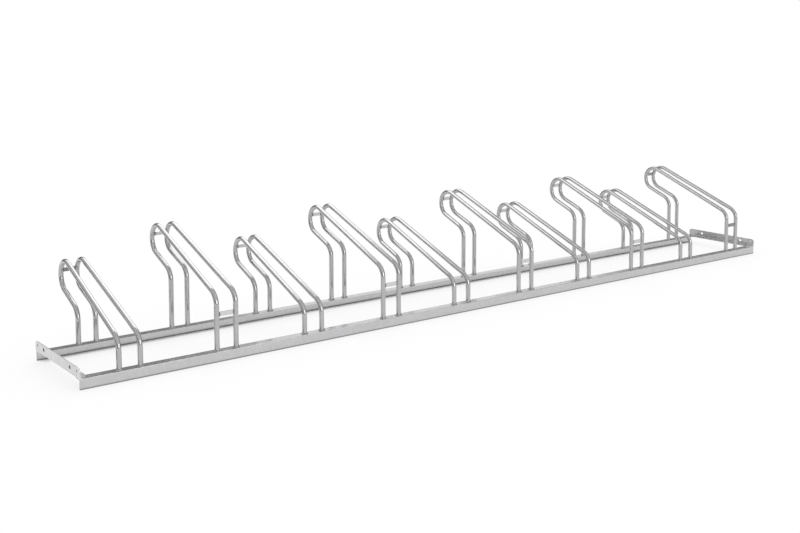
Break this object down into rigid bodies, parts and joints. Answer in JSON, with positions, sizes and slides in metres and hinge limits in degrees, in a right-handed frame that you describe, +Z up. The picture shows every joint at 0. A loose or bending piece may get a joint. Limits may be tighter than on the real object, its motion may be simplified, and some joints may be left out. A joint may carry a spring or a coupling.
{
  "type": "bicycle floor rack",
  "caption": "Low floor-standing bicycle rack of galvanised steel angle and bent tube, with wheel holders that stand low and high by turns along a ladder-like base frame.",
  "frame": {"origin": "middle of the rack's footprint, on the floor: the bottom centre of its overall box", "axes": "+X along the row of holders to the right, +Y to the rear, where the holders' heads are, +Z up"},
  "size_m": [3.492, 0.539, 0.4062],
  "materials": {
    "rail_steel": "hot-dip galvanised, dull grey with faint spangle",
    "end_angle_steel": "hot-dip galvanised, pale and even",
    "tube_steel": "hot-dip galvanised, bright with faint streaks",
    "crossbar_steel": "hot-dip galvanised",
    "weld_metal": "galvanised weld bead, slightly darker and rougher"
  },
  "bodies": {
    "root": {"front_rail": "rail_steel", "rear_rail": "rail_steel", "left_end_angle": "end_angle_steel", "right_end_angle": "end_angle_steel", "holder_01_left_tube": "tube_steel", "holder_02_left_tube": "tube_steel", "holder_03_left_tube": "tube_steel", "holder_04_left_tube": "tube_steel", "holder_05_left_tube": "tube_steel", "holder_06_left_tube": "tube_steel", "holder_07_left_tube": "tube_steel", "holder_08_left_tube": "tube_steel", "holder_09_left_tube": "tube_steel", "holder_10_left_tube": "tube_steel", "holder_01_right_tube": "tube_steel", "holder_02_right_tube": "tube_steel", "holder_03_right_tube": "tube_steel", "holder_04_right_tube": "tube_steel", "holder_05_right_tube": "tube_steel", "holder_06_right_tube": "tube_steel", "holder_07_right_tube": "tube_steel", "holder_08_right_tube": "tube_steel", "holder_09_right_tube": "tube_steel", "holder_10_right_tube": "tube_steel", "holder_01_top_bar": "crossbar_steel", "holder_02_top_bar": "crossbar_steel", "holder_03_top_bar": "crossbar_steel", "holder_04_top_bar": "crossbar_steel", "holder_05_top_bar": "crossbar_steel", "holder_06_top_bar": "crossbar_steel", "holder_07_top_bar": "crossbar_steel", "holder_08_top_bar": "crossbar_steel", "holder_09_top_bar": "crossbar_steel", "holder_10_top_bar": "crossbar_steel", "holder_02_front_bar": "crossbar_steel", "holder_04_front_bar": "crossbar_steel", "holder_06_front_bar": "crossbar_steel", "holder_08_front_bar": "crossbar_steel", "holder_10_front_bar": "crossbar_steel", "front_foot_welds": "weld_metal", "rear_foot_welds": "weld_metal", "top_bar_welds": "weld_metal", "front_bar_welds": "weld_metal", "corner_welds": "weld_metal"}
  },
  "joints": []
}
